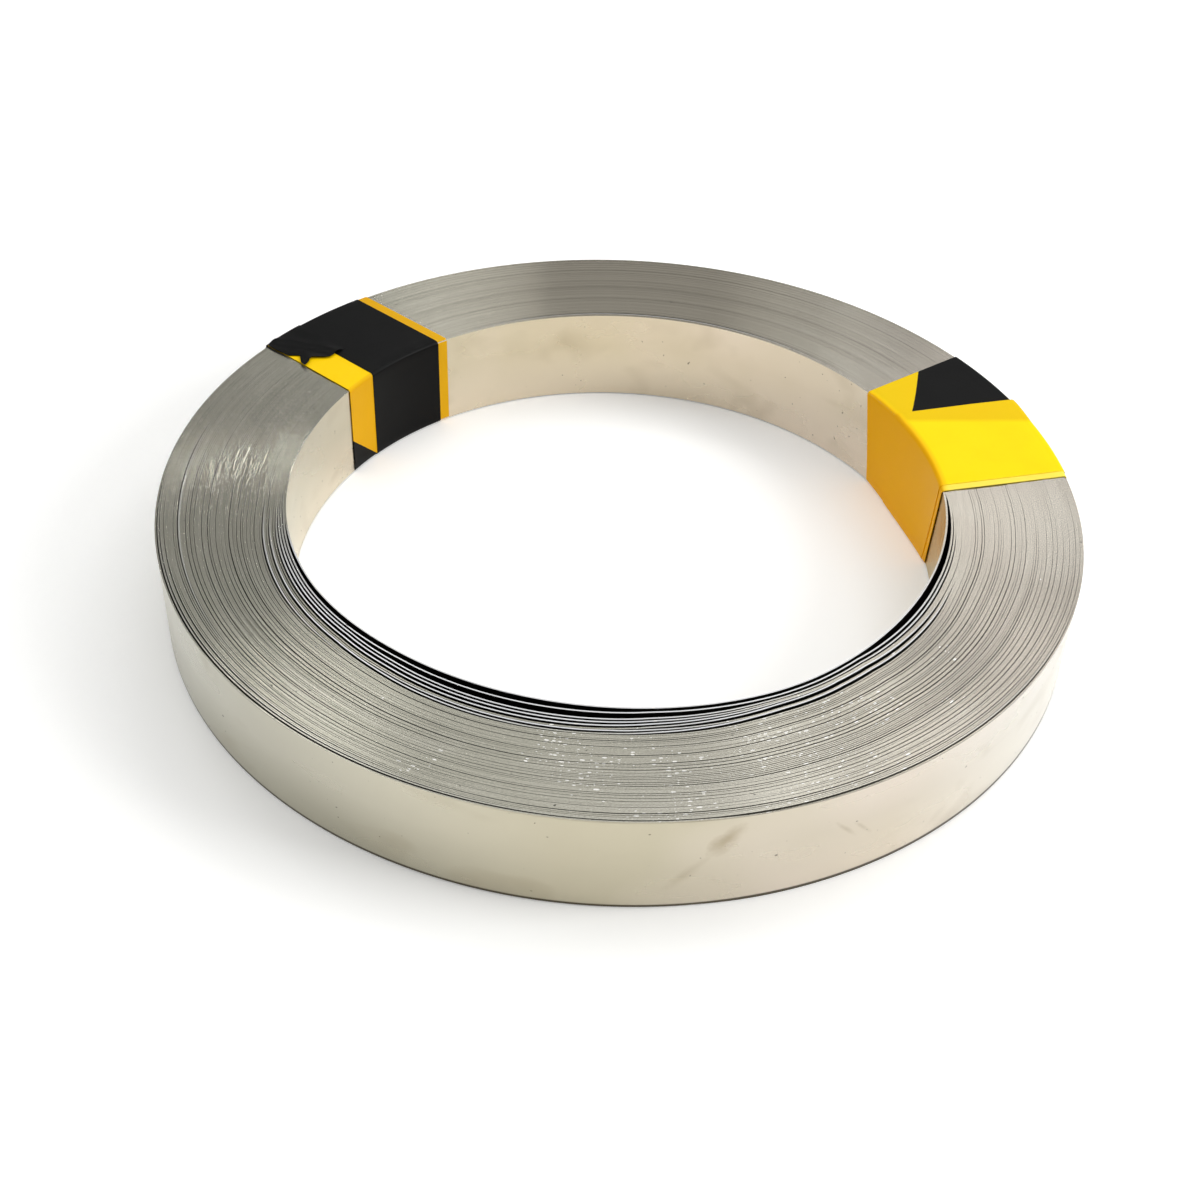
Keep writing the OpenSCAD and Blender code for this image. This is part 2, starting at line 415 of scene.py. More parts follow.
    # The grey of each turn, then the marks and the painted light and shade laid over it, in order
    greys = add_node(
        tree, "ShaderNodeMapRange", {"Value": marks["shade"], "From Min": 0.3, "From Max": 0.7})
    colour = add_node(
        tree, "ShaderNodeMix",
        {"Factor": greys.outputs[0], "A": linear("#b7b5a6"), "B": linear("#c4c2b3")}, data_type="RGBA")
    for share, tint in (
            (pink.outputs[0], "#c1b7ac"), (scuffed.outputs[0], "#dcd9cd"), (painted_sheen.outputs[0], "#e6e2d6"),
            (near["painted back shade"], "#b9b2a2"), (torn.outputs[0], "#8d897f"), (free.outputs["Fac"], "#e2e3e4"),
            (dirty.outputs[0], "#3f3a33"), (painted_burr_glints.outputs[0], "#f5f3ec")):
        colour = add_node(
            tree, "ShaderNodeMix",
            {"Factor": share, "A": colour.outputs["Result"], "B": linear(tint)}, data_type="RGBA")
    # Where edges and burrs are painted bright, the metal is made less metallic too
    bright = add_node(
        tree, "ShaderNodeMath", {0: free.outputs["Fac"], 1: painted_burr_glints.outputs[0]}, operation="MAXIMUM")
    metal = add_node(
        tree, "ShaderNodeMapRange", {"Value": bright.outputs[0], "To Min": 0.88, "To Max": 0.25})
    rough = add_node(
        tree, "ShaderNodeMapRange",
        {"Value": marks["grain"], "From Min": 0.3, "From Max": 0.7, "To Min": 0.17, "To Max": 0.23})
    # The scores are deepest on the far left
    scored = add_node(
        tree, "ShaderNodeMapRange",
        {"Value": sides.outputs["X"], "From Min": -40 * MM, "From Max": -56 * MM,
         "To Min": 0.1, "To Max": 1.0})
    bump = add_node(
        tree, "ShaderNodeBump",
        {"Height": marks["score"], "Strength": scored.outputs[0], "Distance": 0.07 * MM})
    # Slitting leaves the metal brushed along the turn, so light spreads across the turns
    turning = add_node(tree, "ShaderNodeTangent", direction_type="RADIAL", axis="Z")
    shader = add_node(
        tree, "ShaderNodeBsdfPrincipled",
        {"Base Color": colour.outputs["Result"], "Metallic": metal.outputs[0], "Roughness": rough.outputs[0],
         "Anisotropic": 1.0, "Anisotropic Rotation": 0.25, "Tangent": turning.outputs[0],
         "Normal": bump.outputs[0]})
    add_node(tree, "ShaderNodeOutputMaterial", {"Surface": shader.outputs[0]})
    return material


def striped_vinyl():
    """Printed vinyl warning tape: glossy, slightly uneven film with yellow and black stripes at 45 degrees.
    The tape's UV map counts pairs of stripes, along it and across it."""
    material, tree = new_material("striped_vinyl")
    uv = add_node(tree, "ShaderNodeUVMap", uv_map="UVMap")
    way = add_node(tree, "ShaderNodeSeparateXYZ", {0: uv.outputs[0]})
    place = add_node(tree, "ShaderNodeTexCoord")
    xyz = add_node(tree, "ShaderNodeSeparateXYZ", {0: place.outputs["Object"]})
    # Ink edges wander by a few hundredths of a millimetre
    across = add_node(
        tree, "ShaderNodeMath", {0: way.outputs["X"], 1: way.outputs["Y"]}, operation="ADD")
    ink = add_node(
        tree, "ShaderNodeTexNoise",
        {"Vector": place.outputs["Object"], "Scale": 1 / (0.8 * MM), "Detail": 2})
    wander = add_node(
        tree, "ShaderNodeMath", {0: ink.outputs[0], 1: 0.12 * MM / STRIPE_PAIR, 2: across.outputs[0]},
        operation="MULTIPLY_ADD")
    stripe = add_node(tree, "ShaderNodeMath", {0: wander.outputs[0]}, operation="FRACT")
    black = add_node(tree, "ShaderNodeMath", {0: stripe.outputs[0], 1: 0.5}, operation="GREATER_THAN")
    # Painted shade: in the bore the yellow is painted amber, standing in for the dimmer, warmer light on the
    # walls there
    flat = add_node(tree, "ShaderNodeCombineXYZ", {"X": xyz.outputs["X"], "Y": xyz.outputs["Y"]})
    out = add_node(tree, "ShaderNodeVectorMath", {0: flat.outputs[0]}, operation="LENGTH")
    in_bore_shade = add_node(
        tree, "ShaderNodeMapRange",
        {"Value": out.outputs["Value"], "From Min": BORE_R, "From Max": BORE_R + 1.2 * MM,
         "To Min": 1.0, "To Max": 0.0})
    # Painted shade: the left wrap is painted a darker, more golden yellow than the right one, standing in for
    # the dimmer light on that side
    toward_right_wrap = add_node(
        tree, "ShaderNodeMapRange", {"Value": xyz.outputs["X"], "From Min": -30 * MM, "From Max": 30 * MM})
    golden = add_node(
        tree, "ShaderNodeMath", {0: 1.0, 1: toward_right_wrap.outputs[0]}, operation="SUBTRACT")
    lemon = add_node(
        tree, "ShaderNodeMix",
        {"Factor": toward_right_wrap.outputs[0], "A": linear("#ffd206"), "B": linear("#ffe104")}, data_type="RGBA")
    amber = add_node(
        tree, "ShaderNodeMix",
        {"Factor": toward_right_wrap.outputs[0], "A": linear("#cb8604"), "B": linear("#ffb904")}, data_type="RGBA")
    # Along the left wrap's far edge the yellow is almost orange
    far_edge = add_node(
        tree, "ShaderNodeMapRange",
        {"Value": way.outputs["Y"], "From Min": 9.2 * MM / STRIPE_PAIR, "From Max": 9.5 * MM / STRIPE_PAIR})
    orange_far_edge = add_node(
        tree, "ShaderNodeMath", {0: far_edge.outputs[0], 1: golden.outputs[0]}, operation="MULTIPLY")
    # The near edge of the right wrap is a thin lip, where the film is paler
    near_edge = add_node(
        tree, "ShaderNodeMapRange",
        {"Value": way.outputs["Y"], "From Min": 9.8 * MM / STRIPE_PAIR, "From Max": 10 * MM / STRIPE_PAIR})
    above = add_node(
        tree, "ShaderNodeMath", {0: toward_right_wrap.outputs[0], 1: in_bore_shade.outputs[0]}, operation="SUBTRACT",
        use_clamp=True)
    lip = add_node(
        tree, "ShaderNodeMath", {0: near_edge.outputs[0], 1: above.outputs[0]}, operation="MULTIPLY")
    # Painted shade: beyond its crease the right wrap is painted a deeper yellow, standing in for the shade on
    # the band that tilts there
    crease_line = add_node(
        tree, "ShaderNodeMath", {0: xyz.outputs["X"], 1: -math.tan(CREASE_SLANT), 2: xyz.outputs["Y"]},
        operation="MULTIPLY_ADD")
    beyond = add_node(
        tree, "ShaderNodeMapRange",
        {"Value": crease_line.outputs[0], "From Min": 16.4 * MM, "From Max": 17.4 * MM})
    deep = add_node(
        tree, "ShaderNodeMath", {0: beyond.outputs[0], 1: above.outputs[0]}, operation="MULTIPLY")
    # The print is thin in places, and the film uneven
    mottle = add_node(
        tree, "ShaderNodeTexNoise", {"Vector": place.outputs["Object"], "Scale": 1 / (6 * MM), "Detail": 3})
    thin = add_node(
        tree, "ShaderNodeMapRange",
        {"Value": mottle.outputs[0], "From Min": 0.45, "From Max": 0.75, "To Min": 0.0, "To Max": 0.12})
    colour = add_node(
        tree, "ShaderNodeMix",
        {"Factor": in_bore_shade.outputs[0], "A": lemon.outputs["Result"], "B": amber.outputs["Result"]},
        data_type="RGBA")
    for share, tint in (
            (orange_far_edge, "#e0a810"), (lip, "#ffe95a"), (deep, "#efc704"), (thin, "#f2b90a"), (black, "#0a0a0a")):
        colour = add_node(
            tree, "ShaderNodeMix",
            {"Factor": share.outputs[0], "A": colour.outputs["Result"], "B": linear(tint)}, data_type="RGBA")
    rough = add_node(
        tree, "ShaderNodeMapRange", {"Value": mottle.outputs[0], "To Min": 0.3, "To Max": 0.42})
    bump = add_node(
        tree, "ShaderNodeBump", {"Height": mottle.outputs[0], "Strength": 0.12, "Distance": 0.3 * MM})
    shader = add_node(
        tree, "ShaderNodeBsdfPrincipled",
        {"Base Color": colour.outputs["Result"], "Roughness": rough.outputs[0], "IOR": 1.53,
         "Specular IOR Level": 0.07, "Normal": bump.outputs[0]})
    add_node(tree, "ShaderNodeOutputMaterial", {"Surface": shader.outputs[0]})
    return material


# The winding: the gap that lets an edge stand free, the gap of tight turns, and the seed of its chance
FREE_GAP = 0.4 * MM
TIGHT_GAP = 0.003 * MM
WINDING_SEED = 7
# How far the turns may slip along the axis, and as shares of it the step from one turn to the next, the
# least and most slip, and the wave along one turn
SLIP = COIL_Z1 - COIL_Z0 - STRIP_W
SLIP_STEP = 0.06
SLIP_LEAST, SLIP_MOST = 0.15, 0.85
SLIP_WAVE = 0.04
# How a swell along an arc is shaped: blunt below 1, pointed above it
BOW_SWELL, SPRUNG_SWELL, HAIR_SWELL, DROP_SWELL = 1.3, 0.75, 0.7, 0.6
# The bore lies off centre by this much, towards this direction in degrees
OFF_CENTRE = 0.36 * MM
OFF_CENTRE_WAY = 207
# The outermost turn stands this far above the others' lowest edge, and drops over an arc
RIM_LIFT = 0.01 * MM
RIM_DROP = 0.15 * MM
RIM_DROP_ARC = (280, 372)
# Close to the right wrap the free edges lose their painted highlight again, from this angle on, over so many
# degrees
DULL_FROM, DULL_OVER = 322, 28
# Gaps between sprung turns: the turn inside the gap, its width in mm, and the arc it opens over
SPRUNG_GAPS = [
    (0, 0.80, 194, 276), (0, 0.58, 236, 336), (0, 0.85, 312, 362),
    (1, 0.64, 226, 294), (1, 0.42, 186, 332), (1, 0.30, 292, 358),
    (2, 0.42, 188, 306), (2, 0.30, 296, 352), (3, 0.50, 190, 296), (4, 0.46, 190, 306),
    (5, 0.42, 270, 334), (6, 0.38, 230, 290), (7, 0.38, 190, 268), (7, 0.50, 266, 338),
    (10, 0.26, 188, 230), (53, 0.16, 168, 220), (62, 0.10, 182, 262), (60, 0.09, 194, 250),
    (63, 0.10, 172, 290), (63, 0.10, 290, 342), (2, 0.17, 40, 128),
]
# Hair-wide gaps between the tighter turns, from this turn out. About every other turn parts on both sides
# of the front, a few part all along it, and at the back they part by much less. Each sort has the middle and
# half of its arc in degrees, its least and most width in mm, and how many turns on the next one may lie.
FIRST_HAIR = 5
HAIR_STRAY = 12
HAIRS = [
    (221, 36, 0.06, 0.13, (1, 2, 2, 3)), (314, 44, 0.07, 0.12, (1, 2, 2, 3)),
    (270, 72, 0.04, 0.12, (2, 4, 6)), (92, 100, 0.015, 0.05, (1, 2, 3)),
]
# How far the innermost turn bows in from the bore's line, in mm, and over which arc
BOWS = [(-0.40, 166, 234), (0.90, 212, 304), (0.55, 296, 364)]


def wound_share(angle):
    """How far round its turn the strip is at this angle, from the seam under the right wrap."""
    return ((angle - RIGHT_WRAP) % 360) / 360


def bore_radius(angle):
    """The innermost turn starts at the bore, drifts out by half a thickness, and lies a little off centre."""
    off_centre = OFF_CENTRE * (1 + math.cos(math.radians(angle - OFF_CENTRE_WAY)))
    return BORE_R + STRIP_T * wound_share(angle) * 0.5 + off_centre


class Winding:
    """Where each turn lies at each angle: its inner radius, the height of its lower edge, and how free
    it stands."""

    def __init__(self):
        dice = random.Random(WINDING_SEED)
        self.lines = self.hairs(dice)
        self.rise = [dice.uniform(0, 360) for _ in range(TURNS)]
        self.slip = [0.5]
        for _ in range(TURNS - 1):
            step = self.slip[-1] + dice.gauss(0, SLIP_STEP)
            self.slip.append(min(max(step, SLIP_LEAST), SLIP_MOST))
        self.known = {}

    def hairs(self, dice):
        """Every hair-wide gap: the turn inside it, its width in mm, and its arc in degrees."""
        lines = []
        for middle, half, least, most, steps in HAIRS:
            k = FIRST_HAIR
            while k < TURNS - 1:
                centre = middle + dice.uniform(-HAIR_STRAY, HAIR_STRAY)
                reach = half + dice.uniform(-HAIR_STRAY, HAIR_STRAY)
                lines.append((k, dice.uniform(least, most), centre - reach, centre + reach))
                k += dice.choice(steps)
        return lines

    def at(self, angle):
        """Inner radius of every turn at this angle, its drawn thickness, and the sprung gap outside it.
        Between the wraps the inner turns spring apart, and tight turns are drawn touching."""
        key = round(angle, 1)
        if key in self.known:
            return self.known[key]
        bow = sum(depth * arc_window(angle, start, end, BOW_SWELL) for depth, start, end in BOWS)
        inside = bore_radius(angle) - bow * MM
        outside = COIL_R - STRIP_T * (1 - wound_share(angle))
        sprung = [0.0] * TURNS
        for k, gap, start, end in SPRUNG_GAPS:
            sprung[k] += gap * MM * arc_window(angle, start, end, SPRUNG_SWELL)
        gaps = [TIGHT_GAP + gap for gap in sprung[:-1]]
        for k, width, start, end in self.lines:
            gaps[k] += width * MM * arc_window(angle, start, end, HAIR_SWELL)
        depth = (outside - inside - sum(gaps)) / TURNS
        radii = [inside]
        for gap in gaps:
            radii.append(radii[-1] + depth + gap)
        self.known[key] = (radii, depth, sprung)
        return self.known[key]

    def lower_edge(self, k, angle):
        """A turn slips along the axis as it is wound, a little more or less from place to place. The
        outermost one has dropped on the front right."""
        if k == TURNS - 1:
            dropped = smooth(2 * arc_window(angle, *RIM_DROP_ARC, DROP_SWELL))
            return COIL_Z0 + RIM_LIFT - RIM_DROP * dropped
        wave = SLIP_WAVE * math.cos(math.radians(angle - self.rise[k]))
        return COIL_Z0 + SLIP * min(max(self.slip[k] + wave, 0), 1)

    def free(self, k, angle):
        """1 where a turn stands clear of the one outside it, 0 where the two are tight."""
        dulled = smooth((angle - DULL_FROM) / DULL_OVER)
        return smooth(self.at(angle)[2][k] / FREE_GAP) * (1 - dulled)


def start_empty(name):
    """Leaves one new object with an empty mesh, in edit mode."""
    bpy.ops.object.select_all(action="DESELECT")
    bpy.ops.mesh.primitive_plane_add(size=MM)
    piece = bpy.context.object
    piece.name = name
    piece.data.name = name
    bpy.ops.object.mode_set(mode="EDIT")
    bpy.ops.mesh.delete(type="VERT")
    return piece


def turn_at(radius):
    """Which turn lies at this radius, before the turns are let out."""
    return int((radius - BORE_R) / PITCH + 0.05)


def wound_strip(rolled, hidden, sheared):
    """Every turn is drawn as the strip's own section, and all of them are spun about the axis.
    Each turn is then let out to where it lies in the winding."""
    piece = start_empty("wound_strip")
    for k in range(TURNS):
        middle = (BORE_R + k * PITCH + STRIP_T / 2, 0, COIL_Z0 + STRIP_W / 2)
        bpy.ops.mesh.primitive_plane_add(size=1, location=middle, rotation=(math.pi / 2, 0, 0))
        bpy.ops.transform.resize(value=(STRIP_T, 1, STRIP_W), center_override=middle)
    bpy.ops.mesh.select_all(action="SELECT")
    bpy.ops.mesh.delete(type="ONLY_FACE")
    bpy.ops.mesh.select_all(action="SELECT")
    bpy.ops.mesh.spin(steps=COLUMNS, angle=2 * math.pi, center=(0, 0, 0), axis=(0, 0, 1))
    bpy.ops.mesh.select_all(action="SELECT")
    bpy.ops.mesh.remove_doubles(threshold=0.01 * MM)
    bpy.ops.mesh.normals_make_consistent(inside=False)
    bpy.ops.object.mode_set(mode="OBJECT")
    winding = Winding()
    turn_of_face = [turn_at(face.center.xy.length) for face in piece.data.polygons]
    for vertex in piece.data.vertices:
        x, y, z = vertex.co
        radius = math.hypot(x, y)
        k = turn_at(radius)
        angle = math.degrees(math.atan2(y, x)) % 360
        radii, depth, _ = winding.at(angle)
        radius = radii[k] + (depth if radius - BORE_R - k * PITCH > STRIP_T / 2 else 0)
        turn = math.radians(angle)
        lift = winding.lower_edge(k, angle) - COIL_Z0
        vertex.co = (radius * math.cos(turn), radius * math.sin(turn), z + lift)
    for finish in (rolled, hidden, sheared):
        piece.data.materials.append(finish)
    loose = piece.data.attributes.new("loose", "FLOAT", "FACE").data
    for face in piece.data.polygons:
        k = turn_of_face[face.index]
        outward = face.normal.xy.dot(face.center.xy) > 0
        bare = k == TURNS - 1 if outward else k == 0
        face.material_index = 2 if abs(face.normal.z) > 0.7 else (0 if bare else 1)
        angle = math.degrees(math.atan2(face.center.y, face.center.x)) % 360
        loose[face.index].value = winding.free(k, angle)
    bpy.ops.object.shade_smooth_by_angle(angle=math.radians(30))
    return piece


# The tape wraps
class TapePath:
    """The way of a tape round the coil's section, from under its middle: up the bore, over the top,
    down the outside and back under."""

    def __init__(self, lift, bore):
        r0, r1 = bore, COIL_R
        z0, z1 = COIL_Z0, COIL_Z1
        runs = 12
        bends = 5
        self.points = [((r0 + r1) / 2, z0 - lift, -90)]
        for r, z, facing in [(r0, z0, -90), (r0, z1, 180), (r1, z1, 90), (r1, z0, 0)]:
            inset_r = r + FOLD_R * (1 if r == r0 else -1)
            inset_z = z + FOLD_R * (1 if z == z0 else -1)
            fold = FOLD_R + lift
            turned = [math.radians(facing - 90 * i / bends) for i in range(bends + 1)]
            bend = [
                (inset_r + fold * math.cos(a), inset_z + fold * math.sin(a), math.degrees(a)) for a in turned]
            self.run_to(bend[0], runs)
            self.points.extend(bend)
        self.run_to(self.points[0], runs)
        self.points.append(self.points[0])
        self.length = [0.0]
        for (ra, za, _), (rb, zb, _) in zip(self.points, self.points[1:]):
            self.length.append(self.length[-1] + math.hypot(rb - ra, zb - za))

    def run_to(self, end, steps):
        """Straight run from the last point to just short of the next bend."""
        ra, za, facing = self.points[-1]
        for i in range(1, steps):
            share = i / steps
            self.points.append((ra + (end[0] - ra) * share, za + (end[1] - za) * share, facing))


class Place:
    """A point of a tape: radius, height and angle about the axis, with its distance along and across
    the tape."""

    def __init__(self, r, z, angle, along, side):
        self.r, self.z, self.angle = r, z, angle
        self.along, self.side = along, side

    def drop(self):
        """How far down the coil's height it is: 0 on top, 1 on the floor."""
        return min(max((COIL_Z1 - self.z) / (COIL_Z1 - COIL_Z0), 0), 1)

    def inward(self):
        """1 on the bore's wall, falling to 0 at the outside."""
        return min(max((COIL_R - self.r) / (COIL_R - BORE_R), 0), 1)

    def down_bore(self):
        """Grows from 0 to 1 down the bore's wall, and is 0 away from it."""
        return self.drop() * smooth(6 * self.inward() - 5)


def tape_pass(name, vinyl, direction, low, high, lift, print_start, shape=None, span=None):
    """One pass of tape round the section, between two edges given as distances from the line that runs
    out from the axis in its direction. A flat grid is wrapped round the coil, then given the film's
    thickness. print_start moves the stripes along the tape, shape moves its points, and span keeps
    only part of the way round."""
    path = TapePath(lift, bore_radius(direction))
    if span:
        kept = [i for i, at in enumerate(path.length) if span[0] <= at <= span[1]]
    else:
        kept = range(len(path.points))
    rows = len(kept) - 1
    columns = max(round((high - low) / FILM_CELL), 8)
    bpy.ops.object.select_all(action="DESELECT")
    bpy.ops.mesh.primitive_grid_add(x_subdivisions=rows, y_subdivisions=columns, size=1)
    piece = bpy.context.object
    piece.name = name
    mesh = piece.data
    marks = {}
    for vertex in mesh.vertices:
        row = kept[round((vertex.co.x + 0.5) * rows)]
        share = vertex.co.y + 0.5
        r, z, _ = path.points[row]
        along = path.length[row]
        side = low + (high - low) * share
        marks[vertex.index] = ((along + print_start) / STRIPE_PAIR, -side / STRIPE_PAIR)
        place = Place(r, z, math.radians(direction) + math.asin(side / r), along, side)
        if shape:
            shape(place)
        vertex.co = (place.r * math.cos(place.angle), place.r * math.sin(place.angle), place.z)
    uv = mesh.uv_layers.active.data
    for loop in mesh.loops:
        uv[loop.index].uv = marks[loop.vertex_index]
    mesh.materials.append(vinyl)
    bpy.ops.object.mode_set(mode="EDIT")
    bpy.ops.mesh.select_all(action="SELECT")
    bpy.ops.mesh.remove_doubles(threshold=0.002 * MM)
    bpy.ops.mesh.normals_make_consistent(inside=False)
    bpy.ops.object.mode_set(mode="OBJECT")
    film = piece.modifiers.new("film", "SOLIDIFY")
    film.thickness = FILM_T
    film.offset = -1
    bpy.ops.object.modifier_apply(modifier=film.name)
    bpy.ops.object.shade_smooth_by_angle(angle=math.radians(40))
    return piece


def joined(name, pieces):
    """Joins the passes of one wrap into a single piece."""
    bpy.ops.object.select_all(action="DESELECT")
    for piece in pieces:
        piece.select_set(True)
    bpy.context.view_layer.objects.active = pieces[0]
    bpy.ops.object.join()
    pieces[0].name = name
    pieces[0].data.name = name
    return pieces[0]


def sag_in_bore(place):
    """Inside the bore the right wrap is pulled straight, so its middle leaves the wall lower down."""
    degrees = math.degrees(place.angle)
    sag = SAG * math.sin(math.pi * min(max((degrees - SAG_FROM) / SAG_OVER, 0), 1))
    place.r -= sag * place.down_bore()


def straight_pass(place):
    """The straight passes narrow a little as they go down the bore."""
    middle = math.radians(RIGHT_WRAP)
    pinch = PINCH * place.down_bore()
    place.angle = middle + (place.angle - middle) * (1 - pinch)
    sag_in_bore(place)


def cover_pass(place):
    """The cover rises towards its far edge, from a crease where hidden layers begin under it."""
    straight_pass(place)
    x, y = place.r * math.cos(place.angle), place.r * math.sin(place.angle)
    beyond = (y - CREASE_Y) * math.cos(CREASE_SLANT) - (x - CREASE_X) * math.sin(CREASE_SLANT)
    place.z += CREASE_RISE * min(max(beyond / CREASE_RUN, 0), 1) * (1 - place.drop()) ** 8


def skewed_pass(place):
    """A pass that crosses the rim askew keeps on to the side as it runs down the walls."""
    inside = place.inward()
    drift = SKEW_INSIDE * inside + SKEW_OUTSIDE * (1 - inside)
    place.angle += math.radians(drift) * place.drop()
    sag_in_bore(place)


def torn_end(place):
    """The black tape's end is creased and torn: its inner edge lifts, and its near edge is ragged."""
    start = place.along - FLAP_SPAN[0]
    on_top = (1 - place.drop()) ** 6
    # Wrinkles a few millimetres wide, a finer crumple, a ridge with a furrow beside it, and the lifted edge
    wave = noise.noise(Vector((place.along, place.side, 0)) / (2.6 * MM))
    fine = noise.noise(Vector((place.side, place.along, 3 * MM)) / (1.1 * MM))
    crease = place.side - 4.6 * MM - 0.5 * start
    furrow = 0.6 * math.exp(-((crease - 1.3 * MM) / (0.5 * MM)) ** 2)
    ridge = math.exp(-(crease / (0.5 * MM)) ** 2) - furrow
    lifted = smooth(1 - start / (2 * MM))
    place.z += on_top * (0.1 + 0.1 * wave + 0.05 * fine + 0.22 * ridge + 0.2 * lifted) * MM
    # A notch torn into the near edge
    near = smooth((place.side - 8 * MM) / (2.5 * MM))
    notch = 1.7 * MM * math.exp(-((start - 3.2 * MM) / (0.9 * MM)) ** 2) - 0.3 * MM * fine * on_top
    place.angle -= near * notch / place.r
    # The torn outline of the inner edge
    edge = smooth(1 - start / (2.5 * MM)) * on_top
    side = place.side / MM
    outline = -1.2 + 2.2 * smooth((side - 6.8) / 2.3) - 0.45 * smooth(side - 9.3) + 0.25 * wave
    place.r += edge * outline * MM


# Each pass is given its two edges, how far it lies off the coil, and where its print starts
def left_wrap(vinyl):
    edge = TAPE_W / 2
    passes = [
        tape_pass("left_first", vinyl, LEFT_WRAP, -edge, edge, 0.12 * MM, -5 * MM),
        tape_pass("left_cover", vinyl, LEFT_WRAP, -9.4 * MM, 5.25 * MM, 0.22 * MM, 55 * MM),
        tape_pass("left_end", vinyl, LEFT_WRAP, 3.6 * MM, 11.5 * MM, 0.3 * MM, 55 * MM, torn_end, FLAP_SPAN),
    ]
    return joined("left_tape_wrap", passes)


def right_wrap(vinyl):
    edge = TAPE_W / 2
    passes = [
        tape_pass("right_first", vinyl, RIGHT_WRAP, -edge, edge, 0.1 * MM, -0.5 * MM, straight_pass),
        tape_pass(
            "right_skewed", vinyl, SKEWED_PASS, -23.9 * MM, -1.5 * MM, 0.14 * MM, 18.5 * MM, skewed_pass),
        tape_pass("right_cover", vinyl, RIGHT_WRAP, -9.9 * MM, 10 * MM, 0.22 * MM, 0.4 * MM, cover_pass),
    ]
    return joined("right_tape_wrap", passes)


# Soft boxes: name, place, the point it faces, width and depth in metres, watts, and how many degrees its
# beam is wide. The last six have a grid that narrows the beam, and light one part of the rim each.
OPEN = 180
SOFT_BOXES = [
    ("overhead_softbox", (0.08, 0.15, 0.9), (0.08, 0.15, 0), (1.7, 0.6), 2.2, OPEN),
    ("right_softbox", (0.9, -0.1, 0.5), (0, 0, 0), (0.5, 0.5), 6.2, OPEN),
    ("far_right_softbox", (0.5, 0.45, 0.74), (0.04, -0.03, 0), (0.35, 0.35), 1.12, OPEN),
    ("left_softbox", (-0.8, 0.2, 0.6), (0, 0, 0), (0.4, 0.4), 1.1, OPEN),
    ("front_softbox", (0.02, 0.6, 0.78), (0, 0, 0), (0.3, 0.15), 0.144, OPEN),
    ("back_right_softbox", (0.24, 0.78, 0.57), (0, 0, 0), (0.24, 0.24), 0.085, OPEN),
    ("left_band", (0.0, 0.74, 0.6), (-0.062, 0, COIL_Z1), (0.03, 0.03), 0.00027, 7),
    ("front_left_sheen", (-0.3, 0.52, 0.8), (-0.037, -0.047, COIL_Z1), (0.34, 0.34), 0.0155, 18),
    ("front_right_sheen", (0.25, 0.5, 0.82), (0.031, -0.057, COIL_Z1), (0.3, 0.3), 0.0098, 20),
    ("right_sheen", (0.23, 0.78, 0.6), (0.061, -0.005, COIL_Z1), (0.12, 0.12), 0.00028, 9),
    ("back_left_sheen", (-0.12, 0.85, 0.5), (-0.03, 0.055, COIL_Z1), (0.12, 0.12), 0.0003, 9),
    ("back_right_sheen", (0.1, 0.85, 0.62), (0.033, 0.05, COIL_Z1), (0.08, 0.08), 0.00006, 6),
]


def seen_rays(tree):
    """1 for what the eye sees, straight or in metal, and 0 for the light that reaches the part."""
    ray = add_node(tree, "ShaderNodeLightPath")
    mirrored = add_node(
        tree, "ShaderNodeMath", {0: ray.outputs["Is Camera Ray"], 1: ray.outputs["Is Glossy Ray"]},
        operation="MAXIMUM")
    seen = add_node(
        tree, "ShaderNodeMath", {0: mirrored.outputs[0], 1: ray.outputs["Is Transmission Ray"]},
        operation="MAXIMUM")
    return seen.outputs[0]


def white_floor():
    bpy.ops.object.select_all(action="DESELECT")
    bpy.ops.mesh.primitive_plane_add(size=4)
    floor = bpy.context.object
    floor.name = "floor"
    material, tree = new_material("white_paper")
    # Paper that stays white to the eye, also far off where the lamps don't reach
    spot = add_node(tree, "ShaderNodeTexCoord")
    far_off = add_node(tree, "ShaderNodeVectorMath", {0: spot.outputs["Object"]}, operation="LENGTH")
    white = add_node(
        tree, "ShaderNodeMapRange",
        {"Value": far_off.outputs["Value"], "From Min": 0.6, "From Max": 1.4, "To Min": 0.16, "To Max": 0.75})
    glow = add_node(
        tree, "ShaderNodeMath", {0: seen_rays(tree), 1: white.outputs[0]}, operation="MULTIPLY")
    paper = add_node(
        tree, "ShaderNodeBsdfPrincipled",
        {"Base Color": linear("#fefefc"), "Roughness": 0.9, "Specular IOR Level": 0.0,
         "Emission Color": (1, 1, 1, 1), "Emission Strength": glow.outputs[0]})
    add_node(tree, "ShaderNodeOutputMaterial", {"Surface": paper.outputs[0]})
    floor.data.materials.append(material)


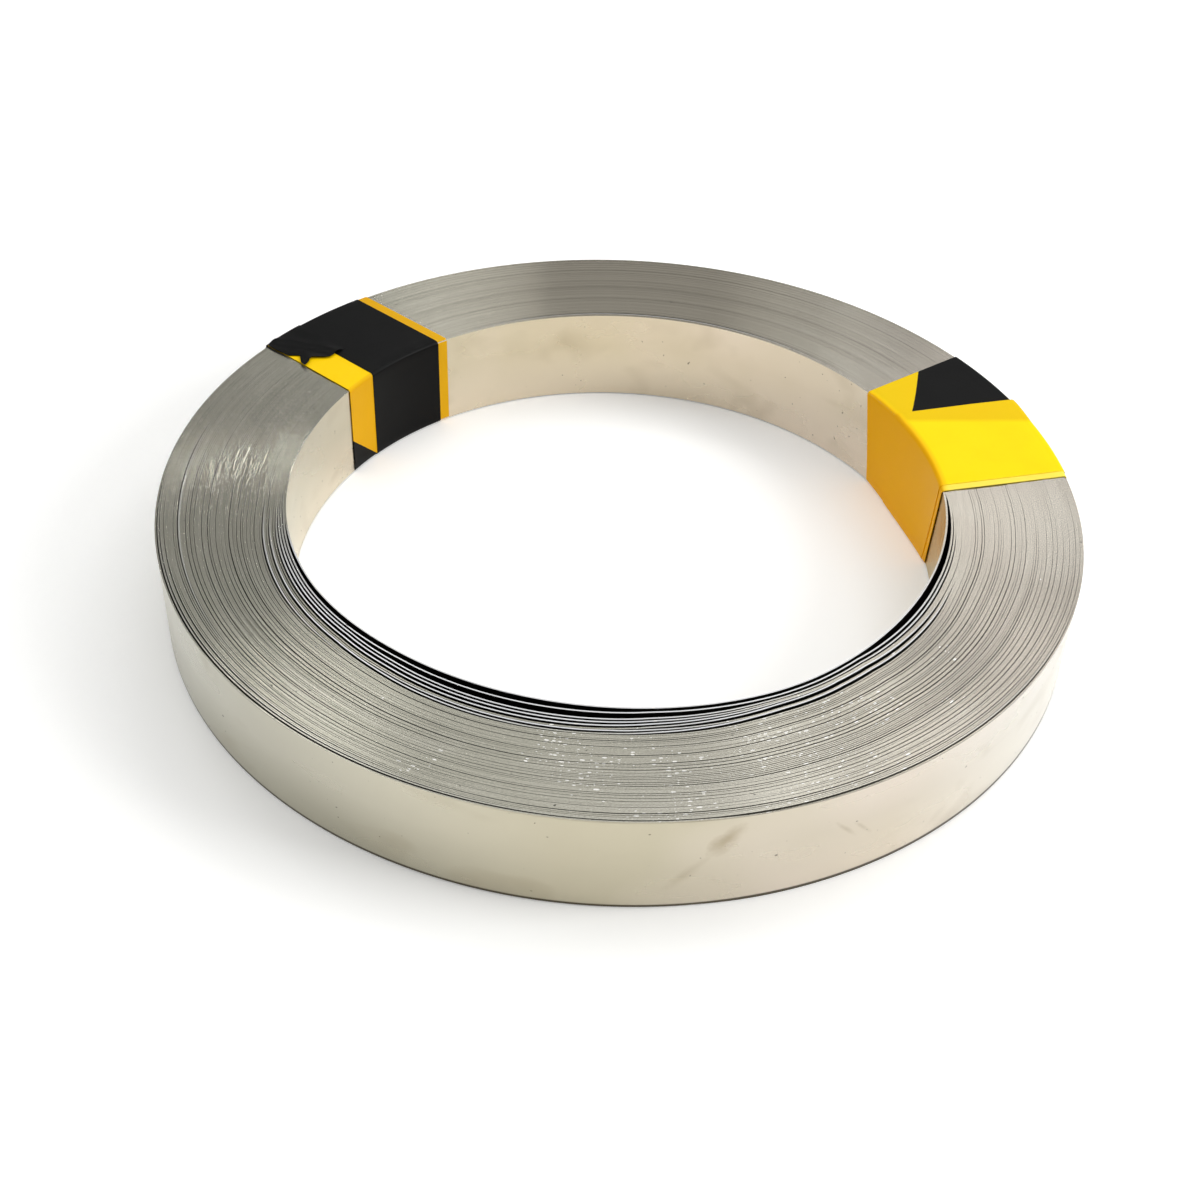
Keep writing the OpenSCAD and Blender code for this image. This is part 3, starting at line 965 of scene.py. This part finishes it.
def studio_room():
    world = bpy.data.worlds.new("studio")
    bpy.context.scene.world = world
    world.use_nodes = True
    sky = world.node_tree
    sky.nodes.clear()
    # The sky is darker towards the horizon, as in a room with one bright ceiling
    place = add_node(sky, "ShaderNodeTexCoord")
    way = add_node(sky, "ShaderNodeSeparateXYZ", {0: place.outputs["Generated"]})
    ceiling = add_node(
        sky, "ShaderNodeMapRange",
        {"Value": way.outputs["Z"], "From Min": 0.3, "From Max": 0.8, "To Min": 0.22, "To Max": 0.5})
    # A white backdrop stands all round, a little higher than the horizon
    backdrop = add_node(
        sky, "ShaderNodeMapRange",
        {"Value": way.outputs["Z"], "From Min": 0.1, "From Max": 0.2, "To Min": 1.0, "To Max": 0.0})
    white_wall = add_node(
        sky, "ShaderNodeMath", {0: seen_rays(sky), 1: backdrop.outputs[0]}, operation="MULTIPLY")
    level = add_node(
        sky, "ShaderNodeMath", {0: ceiling.outputs[0], 1: white_wall.outputs[0]}, operation="MAXIMUM")
    background = add_node(
        sky, "ShaderNodeBackground", {"Color": (1, 1, 1, 1), "Strength": level.outputs[0]})
    add_node(sky, "ShaderNodeOutputWorld", {"Surface": background.outputs[0]})


def soft_boxes():
    for name, place, target, size, watts, beam in SOFT_BOXES:
        lamp = bpy.data.lights.new(name, "AREA")
        lamp.shape = "RECTANGLE"
        lamp.size, lamp.size_y = size
        lamp.energy = watts
        lamp.spread = math.radians(beam)
        box = bpy.data.objects.new(name, lamp)
        bpy.context.scene.collection.objects.link(box)
        box.location = place
        box.rotation_euler = (Vector(target) - Vector(place)).to_track_quat("-Z", "Y").to_euler()


def photo_camera():
    """The photo's camera: close to the coil, on its untaped side, looking down and slightly rolled."""
    distance = 282.6 * MM
    height, pan, tilt, roll = (math.radians(a) for a in (38.86, 0.49, -1.14, -2.70))
    back = Vector((0, -math.cos(height), math.sin(height)))
    view = -back
    right = Vector((1, 0, 0))
    up = right.cross(view)
    panned = Matrix.Rotation(pan, 3, up)
    view, right = panned @ view, panned @ right
    tilted = Matrix.Rotation(tilt, 3, right)
    view, up = tilted @ view, tilted @ up
    rolled = Matrix.Rotation(roll, 3, view)
    right, up = rolled @ right, rolled @ up
    data = bpy.data.cameras.new("photo_camera")
    data.sensor_width = 36
    data.lens = 52.8
    data.clip_start = 0.01
    camera = bpy.data.objects.new("photo_camera", data)
    bpy.context.scene.collection.objects.link(camera)
    turned = Matrix((right, up, -view)).transposed()
    camera.matrix_world = Matrix.Translation(back * distance + Vector((0, 0, COIL_Z0))) @ turned.to_4x4()
    bpy.context.scene.camera = camera


rolled_face = bright_rolled_steel()
hidden_face = gap_shaded_steel()
slit_edge = sheared_steel()
vinyl = striped_vinyl()

coil = wound_strip(rolled_face, hidden_face, slit_edge)
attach(coil, "root")
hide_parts("strip_coil")

left = left_wrap(vinyl)
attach(left, "root")
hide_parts("tape_left")

right = right_wrap(vinyl)
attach(right, "root")
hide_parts("tape_right")

white_floor()
studio_room()
soft_boxes()
photo_camera()
bpy.context.scene.view_settings.view_transform = "Standard"
